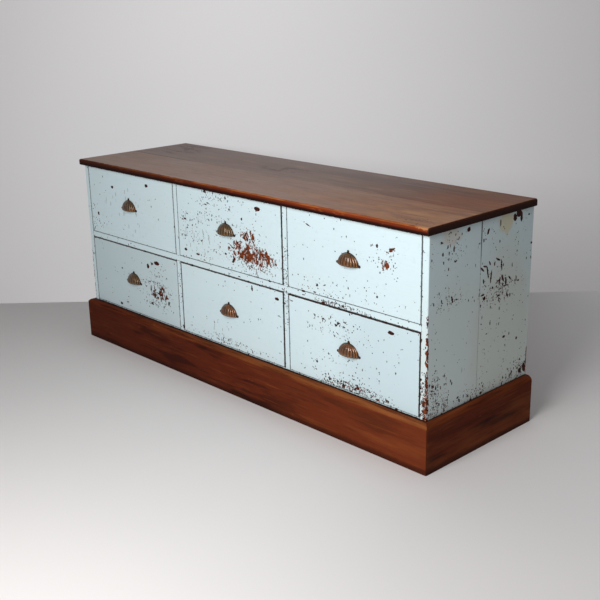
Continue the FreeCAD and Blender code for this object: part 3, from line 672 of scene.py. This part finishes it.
CRACKS = [on_top(-0.02, 0.127, 100, 1.2, 0.04), on_top(0.3, 0.168, 90, 1.4, -0.03),
          on_top(0.44, 0.2, 50, 2.5), on_top(0.16, 0.03, 120, 1.2), on_top(-0.52, 0.18, 120, 1.2, 0.05),
          on_top(0.7, -0.15, 60, 1.5, 0.1), on_top(0.05, 0.22, 200, 1.0), on_top(-0.3, -0.1, 150, 0.8)]
DARK_BLOTS = [on_top(-0.73, 0.14, 170, 130), on_top(-0.08, 0.1, 160, 60)]
WARM_PATCH = on_top(0.25, 0.09, 90, 180)
DUSKY_PATCH = on_top(0.13, 0.17, 160, 60)
WORN_CORNER = on_top(0.765, -0.195, 100, 50)
BARED_CORNER = on_arris(TOP_HALF - 12 * MM, TOP_FRONT + 4 * MM, TOP_LEVEL, 46, 9, 9)


def top_face(finish, wood, warm_side, streaks, scuffs_and_sheen, crack):
    """Colour of the worn face of the top, with a painted grey reflection in the scuffs, stronger towards the
    left
    """
    place = finish.place
    broad = finish.noise(finish.jitter(finish.grain(X_AXIS, 0.22), 9.0, 0.03), 24.0, 5.0, 0.6, 0.5)
    warm_stops = [(0.32, rgb(98, 59, 37)), (0.44, rgb(136, 87, 55)), (0.54, rgb(158, 106, 65)),
                  (0.66, rgb(183, 130, 80))]
    warm_wood = finish.ramp(broad * 0.8 + streaks * 0.2, warm_stops)
    rear = finish.y.past(0.0, 0.5 * MM)
    light_streak = finish.noise(finish.jitter(finish.grain(X_AXIS, 0.18), 20.0, 0.01), 44.0, 4.0, 0.6)
    drawn = finish.jitter(finish.grain(X_AXIS, 0.35), 14.0, 0.05)
    tan = finish.noise(finish.grain(X_AXIS, 0.1), 22.0, 4.0).past(0.42, 0.2)
    worn_corner = finish.inside([WORN_CORNER], 0.6)
    specks = finish.flecks(finish.jitter(place, 300.0, 4 * MM), 6 * MM, worn_corner * 0.5)
    short = finish.noise(finish.jitter(finish.grain(X_AXIS, 0.45), 40.0, 0.01), 34.0, 4.0, 0.65)
    blots = finish.inside(DARK_BLOTS, 0.5, finish.jitter(place, 30.0, 0.03))
    rear_edge = (finish.y - TOP_BACK + 12 * MM).past(0.0, 8 * MM) * (-0.4 - finish.x).past(0.0, 0.15)
    left_of_right = 1.0 - (finish.x - 0.4).past(0.0, 0.2)
    pale_strip = (finish.y - 0.12).past(0.0, 0.08) * left_of_right * (finish.x + 0.66).past(0.0, 0.1)
    far_left = (-0.42 - finish.x).past(0.0, 0.1)
    seam_width = far_left * 2.0 * MM + MM
    seam = 1.0 - (finish.y.size() - seam_width).past(0.0, 2.0 * MM)
    return finish.layered(wood, [
        # Painted reflection and scuffs: pale grey in the scuffed figure, stronger towards the left
        (rgb(176, 150, 140), scuffs_and_sheen.past(0.4, 0.3) * (0.75 - (finish.x + 0.4).past(0.0, 1.0) * 0.45)),
        (warm_wood, warm_side * 0.75),
        (finish.mix(rgb(112, 96, 92), rgb(78, 46, 36), warm_side), rear * 0.5),
        (rgb(188, 146, 116), light_streak.past(0.54, 0.12) * 0.28),
        (rgb(74, 50, 42), 0.24 - light_streak.past(0.34, 0.1) * 0.24),
        (rgb(138, 76, 40), finish.inside([WARM_PATCH], 0.7, drawn) * (0.42 + tan * 0.45)),
        (rgb(84, 52, 38), finish.inside([DUSKY_PATCH], 0.7, drawn) * (0.75 - tan * 0.4)),
        (rgb(44, 30, 26), specks * 0.8),
        (rgb(56, 28, 20), blots * (short.past(0.5, 0.08) * 0.75 + 0.12)),
        (rgb(50, 30, 24), rear_edge * 0.7),
        (rgb(200, 194, 196), pale_strip * 0.1),
        (rgb(40, 26, 22), crack * 0.75),
        (rgb(44, 28, 24), seam * (light_streak.past(0.45, 0.1) * 0.25 + far_left * 0.5 + 0.12)),
    ])


def top_finish():
    """Worn matt top with a polished red-brown edge"""
    finish, wood, figure, streaks, pores = mahogany("mahogany_top", X_AXIS, TOP_WOOD, 0.9, 0.05)
    scuffs_and_sheen = finish.noise(finish.grain(X_AXIS, 0.35), 9.0, 5.0, 0.65)
    warm_side = (finish.x + figure * 0.6 - 0.3).past(0.0, 0.75)
    crack = finish.inside(CRACKS, 0.4, finish.jitter(finish.place, 18.0, 0.008))
    wood = top_face(finish, wood, warm_side, streaks, scuffs_and_sheen, crack)

    # Distance in from the front and the ends of the top, for its polished rounded edge
    inward = (finish.y - TOP_FRONT).least(TOP_HALF - finish.x.size())
    down = TOP_LEVEL - finish.z
    side = 1.0 - (inward + finish.waver(60.0, 5)).past(3 * MM, 3 * MM)
    # Painted light and shade on the rounded edge: lit more towards the right, darker lower down and near
    # black at its foot
    lit = (finish.x + 0.8).past(0.0, 1.5) * 0.82 + 0.18
    lit_edge = finish.mix(rgb(124, 50, 21), rgb(84, 27, 11), down.past(5 * MM, 9 * MM))
    patchy = finish.noise(finish.grain(X_AXIS, 0.3), 55.0, 4.0, 0.65)
    edge_wood = finish.layered(rgb(30, 12, 9), [
        (lit_edge, lit),
        (rgb(154, 86, 42), patchy.past(0.57, 0.1) * 0.5 * lit),
        (rgb(28, 10, 7), down.past(10 * MM, 6 * MM)),
        (rgb(46, 17, 10), streaks.past(0.42, 0.3) * 0.45),
    ])
    # Painted highlight along the arris, broken up where it is rubbed
    rubbed_highlight = finish.noise(finish.grain(X_AXIS, 0.2), 40.0).past(0.42, 0.2)
    off_ridge = (TOP_LEVEL - 2.2 * MM - finish.z).size()
    ridge = (1.0 - off_ridge.past(1.3 * MM, 1.2 * MM)) * (1.0 - inward.past(4 * MM, 2 * MM))
    bared = finish.inside([BARED_CORNER], 0.5, finish.jitter(finish.place, 120.0, 14 * MM))
    end_grain = (finish.x.size() - TOP_HALF + 5 * MM).past(0.0, 2 * MM)
    wood = finish.layered(wood, [
        (edge_wood, side),
        (rgb(190, 118, 62), ridge * (rubbed_highlight * 0.55 + 0.2) * lit),
        (rgb(186, 138, 94), bared * 0.55),
        (rgb(38, 21, 16), end_grain * 0.92),
        # Painted reflection: a pale grey sheen over the face of the top, less on its warm side
        (rgb(182, 166, 162), (1.0 - side) * (1.0 - warm_side * 0.9) * 0.3),
    ])
    rough = 0.5 + scuffs_and_sheen * 0.2 + pores * 0.06
    height = streaks * 0.2 + pores * 0.25 - crack * 0.8 + scuffs_and_sheen * 0.2
    more = {"Specular IOR Level": 0.08, "Coat Weight": (1.0 - side) * 0.3, "Coat Roughness": 0.42}
    return finish.done(wood, rough, height, 0.5 * MM, more)


def plinth_finish(name, along):
    """Deep red polished mahogany, lighter on the rounded top edge"""
    finish, wood, _, streaks, pores = mahogany(name, along, PLINTH_WOOD, 1.0, 0.06)
    front = along == X_AXIS
    mottle = finish.noise(finish.grain(along, 0.16), 16.0, 4.0, 0.6)
    thin = finish.noise(finish.grain(along, 0.05, shift=(7.0, 7.0, 7.0)), 75.0, 4.0, 0.6)
    glow = finish.noise(finish.grain(along, 0.16, shift=(3.0, 3.0, 3.0)), 12.0, 4.0, 0.6)
    lit = (finish.x + 0.8).past(0.0, 1.6)
    rise = finish.waver(30.0, 4)
    band = (finish.z + rise - PLINTH_LEVEL + 15 * MM).past(0.0, 6 * MM)
    band_wood = finish.mix(finish.mix(rgb(90, 37, 14), rgb(134, 78, 41), lit),
                           finish.mix(rgb(46, 18, 10), rgb(90, 44, 22), lit), streaks.past(0.4, 0.3))
    off_front = (finish.y - PLINTH_FRONT).size()
    off_side = (finish.x.size() - PLINTH_HALF).size()
    behind = (off_front.least(off_side) - 18.5 * MM).past(0.0, 3 * MM)
    scuff = finish.noise(finish.grain(along, 0.2), 45.0, 4.0, 0.7)
    foot = (0.026 - finish.z + rise * 3.0).past(0.0, 0.02)
    corner = off_side.most(off_front)
    wood = finish.layered(wood, [
        (rgb(96, 38, 18), 0.3),
        (rgb(38, 12, 8), mottle.past(0.5, 0.12) * 0.7),
        (rgb(140, 76, 38), thin.past(0.55, 0.14) * 0.28),
        (rgb(30, 11, 8), 0.6 - thin.past(0.33, 0.1) * 0.6),
        (rgb(132, 70, 34), glow.past(0.52 if front else 0.46, 0.2) * 0.55),
    ])
    if front:
        wood = finish.layered(wood, [(rgb(136, 66, 34), (lit - 0.5).past(0.0, 0.6) * 0.3),
                                     (rgb(44, 14, 9), (0.6 - lit).past(0.0, 0.6) * 0.35)])
    wood = finish.layered(wood, [
        (band_wood, band * (0.85 if front else 0.22)),
        # Painted shade: a dark line on the ledge where the plinth meets the carcass
        (rgb(30, 15, 12), behind * band * 0.85),
        (rgb(140, 82, 46), scuff.past(0.66, 0.08) * 0.35),
        (rgb(36, 16, 11), foot * 0.7),
        (rgb(28, 12, 9), (1.0 - corner.past(0.5 * MM, 3 * MM)) * 0.8),
    ])
    rough = 0.46 + scuff * 0.2 + pores * 0.05
    return finish.done(wood, rough, streaks * 0.2 + pores * 0.3, 0.4 * MM, {"Specular IOR Level": 0.05})


# Brass


def brass_finish():
    """Aged brass, with patina and painted shade in the valleys, painted shade at the lip, and dark against
    the drawer front
    """
    finish = Finish("aged_brass")
    tarnish = finish.noise(finish.place, 90.0, 4.0, 0.6)
    fine = finish.noise(finish.place, 700.0)
    wear_and_highlight = finish.node("ShaderNodeNewGeometry", out="Pointiness")
    ridge = wear_and_highlight.past(0.49, 0.05)
    metal = finish.ramp(tarnish, [(0.3, rgb(92, 58, 28)), (0.5, rgb(146, 90, 42)), (0.68, rgb(172, 106, 50))])
    patina = finish.noise(finish.stretched((1.0, 1.0, 3.0)), 3.1, 1.0).past(0.42, 0.16)
    metal = finish.mix(metal, rgb(108, 90, 50), patina * 0.6)
    # Patina and painted shade in the valleys between the flutes; wear and a painted highlight on the sharpest
    # ridges
    metal = finish.layered(rgb(22, 14, 11), [(metal, ridge * 0.85 + 0.15),
                                             (rgb(172, 128, 82), wear_and_highlight.past(0.53, 0.06) * 0.5)])
    # Painted shade at the lip of the cup
    above_lip = functools.reduce(Shade.least, [(finish.z - lip).size() for lip in LIPS])
    rim = (finish.y - FRONT_FACE + 4.5 * MM).past(0.0, 3.0 * MM)
    metal = finish.layered(rgb(26, 16, 12), [(metal, above_lip.past(1.2 * MM, 3.0 * MM) * 0.8 + 0.2),
                                             (rgb(38, 20, 13), rim * 0.75)])
    rough = 0.34 + tarnish * 0.16 + (1.0 - ridge) * 0.15
    return finish.done(metal, rough, tarnish * 0.3 + fine * 0.15, 0.3 * MM,
                       {"Metallic": 0.5, "Coat Weight": 0.9, "Coat Roughness": 0.1})


def ear_finish():
    """Brass that never gets rubbed: brown-black round the nails"""
    finish = Finish("dark_brass")
    grain = finish.noise(finish.place, 260.0)
    colour = finish.ramp(grain, [(0.35, rgb(34, 18, 14)), (0.65, rgb(76, 40, 26))])
    return finish.done(colour, 0.5, grain, 0.3 * MM, {"Metallic": 0.4})


def nail_finish():
    finish = Finish("nail_metal")
    grain = finish.noise(finish.place, 400.0)
    colour = finish.ramp(grain, [(0.3, rgb(40, 26, 22)), (0.6, rgb(74, 44, 32))])
    return finish.done(colour, 0.45 + grain * 0.2, grain, 0.2 * MM, {"Metallic": 0.6})


# Pulls: a fluted shell cup with a thin flange, three ears and three nails

PULL_HALF = 39 * MM
PULL_REACH = 17.2 * MM
PULL_HEIGHT = 36 * MM
PULL_WALL = 1.5 * MM
FLUTES = 11
FLUTE_SWELL = 0.085
LIP_POWER = 1.4
STEPS_PER_FLUTE = 8
# Bands of the cup by share of its height, each with how strongly the flutes swell there
FLUTE_BANDS = ((-1.0, 0.75, 1.0), (0.75, 0.9, 0.7), (0.9, 0.97, 0.35))
MERIDIANS = 2 * FLUTES * STEPS_PER_FLUTE
PARALLELS = 36
PULL_TOP = 42.8 * MM
EAR_PLACE = 4.2 * MM
EAR_RADIUS = 4.0 * MM
EAR_THICKNESS = 2.2 * MM
EAR_RISE = 3 * MM
EAR_TAIL = 0.8 * EAR_RADIUS
EAR_BEVEL = 0.45 * MM
FLANGE_SHARE = 1.035
NAIL_HEAD_RADIUS = 2.8 * MM
NAIL_HEAD_HEIGHT = 2.2 * MM
NAIL_SHANK_RADIUS = 0.85 * MM
NAIL_LENGTH = 9 * MM
# Points nearer than this count as one
NEARBY = 0.01 * MM
EARS = [(Vector((-PULL_HALF - EAR_PLACE, 0, EAR_RISE)), Vector((-1, 0, 0))),
        (Vector((PULL_HALF + EAR_PLACE, 0, EAR_RISE)), Vector((1, 0, 0))),
        (Vector((0, 0, PULL_HEIGHT + EAR_PLACE)), Vector((0, 0, 1)))]


def deselect_all():
    bpy.ops.object.select_all(action="DESELECT")


def select_only(*pieces):
    deselect_all()
    for piece in pieces:
        piece.select_set(True)
    bpy.context.view_layer.objects.active = pieces[0]


def pick_points(piece, wanted):
    """Selects the vertices that a rule on their place wants"""
    bpy.ops.object.mode_set(mode="OBJECT")
    mesh = piece.data
    for vertex in mesh.vertices:
        vertex.select = wanted(vertex.co)
    for part in [*mesh.edges, *mesh.polygons]:
        part.select = all(mesh.vertices[index].select for index in part.vertices)
    bpy.ops.object.mode_set(mode="EDIT")


def cut_away(normal):
    """Cuts the whole mesh at the origin and drops what the normal points to"""
    bpy.ops.mesh.select_all(action="SELECT")
    bpy.ops.mesh.bisect(plane_co=(0, 0, 0), plane_no=normal, clear_outer=True)


def resize_picked(*factors):
    bpy.ops.transform.resize(value=factors, center_override=(0, 0, 0))


def settle(piece):
    """Puts the object's place, turn and scale into its mesh"""
    select_only(piece)
    bpy.ops.object.transform_apply(location=True, rotation=True, scale=True)


def finish_with(piece, kind, **settings):
    """Adds a modifier and applies it"""
    select_only(piece)
    modifier = piece.modifiers.new(kind.title(), kind)
    for name, value in settings.items():
        setattr(modifier, name, value)
    bpy.ops.object.modifier_apply(modifier=modifier.name)


def shell_cup():
    """Quarter of a ball drawn out to the cup's size, with flutes that fan from its crown"""
    deselect_all()
    bpy.ops.mesh.primitive_uv_sphere_add(segments=MERIDIANS, ring_count=PARALLELS, radius=1)
    cup = bpy.context.object
    cup.name = "shell_cup"
    cup.scale = (PULL_HALF, PULL_REACH, PULL_HEIGHT)
    settle(cup)
    bpy.ops.object.mode_set(mode="EDIT")

    def meridian(point):
        turn = math.atan2(abs(point.y) / PULL_REACH, point.x / PULL_HALF)
        return round(turn / (2 * math.pi) * MERIDIANS)

    def off_valley(point):
        number = meridian(point) % STEPS_PER_FLUTE
        return min(number, STEPS_PER_FLUTE - number)

    # The flutes deepen from the crown down to the rim
    for low, high, strength in FLUTE_BANDS:
        for step in range(1, STEPS_PER_FLUTE // 2 + 1):
            pick_points(cup, lambda point: low * PULL_HEIGHT < point.z <= high * PULL_HEIGHT
                        and off_valley(point) == step)
            swell = 1 + strength * FLUTE_SWELL * math.sin(math.pi * step / STEPS_PER_FLUTE)
            resize_picked(swell, swell, 1)
    cut_away((0, 0, -1))
    cut_away((0, 1, 0))

    # The lip is drawn in to the ears, meridian by meridian from its two ends to the middle
    half_turn = MERIDIANS // 2
    for number in range(1, half_turn // 2):
        pick_points(cup, lambda point: meridian(point) in (number, half_turn - number))
        drawn_in = math.sin(math.pi * number / half_turn) ** (LIP_POWER - 1)
        resize_picked(1, drawn_in, 1)

    # A thin flange against the drawer front, round the cup's open back
    pick_points(cup, lambda point: abs(point.y) < NEARBY)
    bpy.ops.mesh.extrude_region_move()
    resize_picked(FLANGE_SHARE, 1, FLANGE_SHARE)
    bpy.ops.mesh.select_all(action="SELECT")
    bpy.ops.mesh.remove_doubles(threshold=NEARBY)
    bpy.ops.mesh.normals_make_consistent(inside=False)
    bpy.ops.object.mode_set(mode="OBJECT")
    finish_with(cup, "SOLIDIFY", thickness=PULL_WALL, offset=-1, use_even_offset=True)
    return cup


def ear(centre, outward):
    """A flat round ear, drawn in on one side to meet the cup"""
    deselect_all()
    bpy.ops.mesh.primitive_cylinder_add(vertices=28, radius=EAR_RADIUS, depth=EAR_THICKNESS,
                                        rotation=(math.pi / 2, 0, 0), location=(0, 0, 0))
    tab = bpy.context.object
    settle(tab)
    bpy.ops.object.mode_set(mode="EDIT")
    pick_points(tab, lambda point: point.dot(outward) < -NEARBY)
    bpy.ops.transform.translate(value=-outward * EAR_TAIL)
    bpy.ops.object.mode_set(mode="OBJECT")
    finish_with(tab, "BEVEL", width=EAR_BEVEL, segments=3, limit_method="ANGLE")
    tab.location = centre + Vector((0, -EAR_THICKNESS / 2, 0))
    settle(tab)
    return tab


def nail(centre):
    """A domed nail head on a round shank"""
    deselect_all()
    bpy.ops.mesh.primitive_uv_sphere_add(segments=20, ring_count=12, radius=1, rotation=(math.pi / 2, 0, 0))
    head = bpy.context.object
    head.scale = (NAIL_HEAD_RADIUS, NAIL_HEAD_RADIUS, NAIL_HEAD_HEIGHT)
    settle(head)
    bpy.ops.object.mode_set(mode="EDIT")
    cut_away((0, 1, 0))
    pick_points(head, lambda point: abs(point.y) < NEARBY)
    bpy.ops.mesh.extrude_region_move()
    shrink = NAIL_SHANK_RADIUS / NAIL_HEAD_RADIUS
    resize_picked(shrink, 1, shrink)
    bpy.ops.mesh.extrude_region_move(TRANSFORM_OT_translate={"value": (0, NAIL_LENGTH + EAR_THICKNESS, 0)})
    bpy.ops.mesh.edge_face_add()
    bpy.ops.mesh.select_all(action="SELECT")
    bpy.ops.mesh.normals_make_consistent(inside=False)
    bpy.ops.object.mode_set(mode="OBJECT")
    head.location = centre + Vector((0, -EAR_THICKNESS, 0))
    settle(head)
    return head


def joined(parts, name):
    select_only(*parts)
    bpy.ops.object.join()
    parts[0].name = name
    return parts[0]


def smooth(piece, degrees):
    select_only(piece)
    bpy.ops.object.shade_smooth_by_angle(angle=math.radians(degrees))


def copied_to(piece, name, place):
    """A copy with its own mesh, moved to its place"""
    twin = piece.copy()
    twin.data = piece.data.copy()
    twin.name = name
    twin.data.name = name
    bpy.context.scene.collection.objects.link(twin)
    twin.location = place
    settle(twin)
    return twin


def add_pulls(brass, dark_brass, iron):
    """One shell pull and its nails on every drawer, each set copied from one pattern"""
    cup = shell_cup()
    cup.data.materials.append(brass)
    tabs = [ear(centre, outward) for centre, outward in EARS]
    for tab in tabs:
        tab.data.materials.append(dark_brass)
    cup = joined([cup] + tabs, "pull_pattern")
    smooth(cup, 50)
    pins = joined([nail(centre) for centre, _ in EARS], "nail_pattern")
    smooth(pins, 40)
    pins.data.materials.append(iron)
    for drawer in DRAWERS:
        low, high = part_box(f"{drawer}_pull")
        place = Vector(((low.x + high.x) / 2, FRONT_FACE, high.z - PULL_TOP))
        shell = copied_to(cup, f"{drawer}_shell_pull", place)
        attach(shell, drawer)
        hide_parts(f"{drawer}_pull")
        nails = copied_to(pins, f"{drawer}_ear_nails", place)
        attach(nails, drawer)
        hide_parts(f"{drawer}_pull_nails")
    for pattern in (cup, pins):
        bpy.data.objects.remove(pattern)


# Floor, wall and light

WALL_DISTANCE = 0.875
STAGE_SIZE = 30
FLOOR_GLOW = 0.13
WALL_GLOW = 0.4


def seen_directly(finish):
    """1 for the camera's own rays and for those that a gloss or a clear piece sends on"""
    camera_ray = finish.node("ShaderNodeLightPath", out="Is Camera Ray")
    rays = camera_ray.socket.node.outputs
    glossy_ray = Shade(finish, rays["Is Glossy Ray"])
    return camera_ray.most(glossy_ray).most(Shade(finish, rays["Is Transmission Ray"]))


def add_floor():
    deselect_all()
    bpy.ops.mesh.primitive_plane_add(size=STAGE_SIZE)
    floor = bpy.context.object
    floor.name = "floor"
    finish = Finish("pale_floor")
    cloud = finish.noise(finish.place, 1.3, 2.0)
    pale = finish.mix(rgb(228, 224, 222), rgb(222, 219, 218), cloud)
    # Painted light: the floor at the right glows a little where it is seen, and gives the chest no light
    far_right = (finish.x * 0.75 + finish.y * 0.66 - 0.35).past(0.0, 1.1)
    glow = finish.mix(rgb(0, 0, 0), rgb(252, 252, 255), far_right * seen_directly(finish))
    more = {"Emission Color": glow, "Emission Strength": FLOOR_GLOW}
    floor.data.materials.append(finish.done(pale, 0.75, more=more))


def add_wall(forward):
    """Plain wall behind the chest, square to the camera. Only its front shows, and it takes no light away"""
    level = Vector((forward.x, forward.y, 0)).normalized()
    deselect_all()
    bpy.ops.mesh.primitive_plane_add(size=STAGE_SIZE, rotation=(math.pi / 2, 0, CAMERA_YAW),
                                     location=level * WALL_DISTANCE)
    wall = bpy.context.object
    wall.name = "backdrop"
    finish = Finish("pale_wall")
    facing = finish.node("ShaderNodeNewGeometry", out="Backfacing")
    shown = seen_directly(finish) * (1.0 - facing)
    clear = finish.node("ShaderNodeBsdfTransparent")
    # Painted shade: the wall darkens towards both sides; it also glows a little where it is seen
    shade_sideways = (finish.x * -1.0).most(finish.x * 0.8)
    pale = finish.mix(rgb(211, 210, 211), rgb(178, 176, 177), shade_sideways.past(0.0, 1.6))
    finish.done(pale, 0.9, more={"Emission Color": pale, "Emission Strength": WALL_GLOW})
    plain = Shade(finish, finish.shader.outputs[0])
    mixed = finish.node("ShaderNodeMixShader", values={0: shown, 1: clear, 2: plain})
    output = next(node for node in finish.tree.nodes if node.type == "OUTPUT_MATERIAL")
    finish.plug(output, {"Surface": mixed})
    wall.data.materials.append(finish.material)


def add_lamp(name, place, aim, width, height, power):
    """A rectangular lamp that faces its aim"""
    lamp = bpy.data.lights.new(name, "AREA")
    lamp.shape = "RECTANGLE"
    lamp.size = width
    lamp.size_y = height
    lamp.energy = power
    holder = bpy.data.objects.new(name, lamp)
    bpy.context.scene.collection.objects.link(holder)
    place = Vector(place)
    turn = (Vector(aim) - place).to_track_quat("-Z", "Y").to_matrix().to_4x4()
    holder.matrix_world = Matrix.Translation(place) @ turn


def add_world(strength):
    world = bpy.data.worlds.new("soft_room")
    bpy.context.scene.world = world
    world.use_nodes = True
    background = world.node_tree.nodes["Background"]
    background.inputs["Color"].default_value = (0.98, 0.985, 1.0, 1)
    background.inputs["Strength"].default_value = strength


# The whole chest

forward = add_camera()
bpy.context.scene.view_settings.view_transform = "Standard"
add_floor()
add_wall(forward)
add_world(strength=0.185)
add_lamp("window", place=(1.0, -2.0, 1.5), aim=(0.2, 0.0, 0.35), width=1.1, height=1.0, power=46.5)

paint_fronts()
paint_frame()
paint_ends()
assign(top_finish(), "top_front_board", "top_rear_board")
assign(plinth_finish("mahogany_plinth_front", X_AXIS), "plinth_front")
assign(plinth_finish("mahogany_plinth_side", Y_AXIS), "plinth_left", "plinth_right")

lengthwise = softwood("softwood_lengthwise", X_AXIS)
front_to_back = softwood("softwood_front_to_back", Y_AXIS)
assign(lengthwise, "drawer_stops", "base_rails")
assign(front_to_back, "drawer_runners")
assign(softwood("softwood_standing", Z_AXIS), "glue_blocks")
assign(back_finish(), "back_boards")
for drawer in DRAWERS:
    assign(front_to_back, f"{drawer}_left_side", f"{drawer}_right_side")
    assign(lengthwise, f"{drawer}_back", f"{drawer}_bottom")

add_pulls(brass_finish(), ear_finish(), nail_finish())
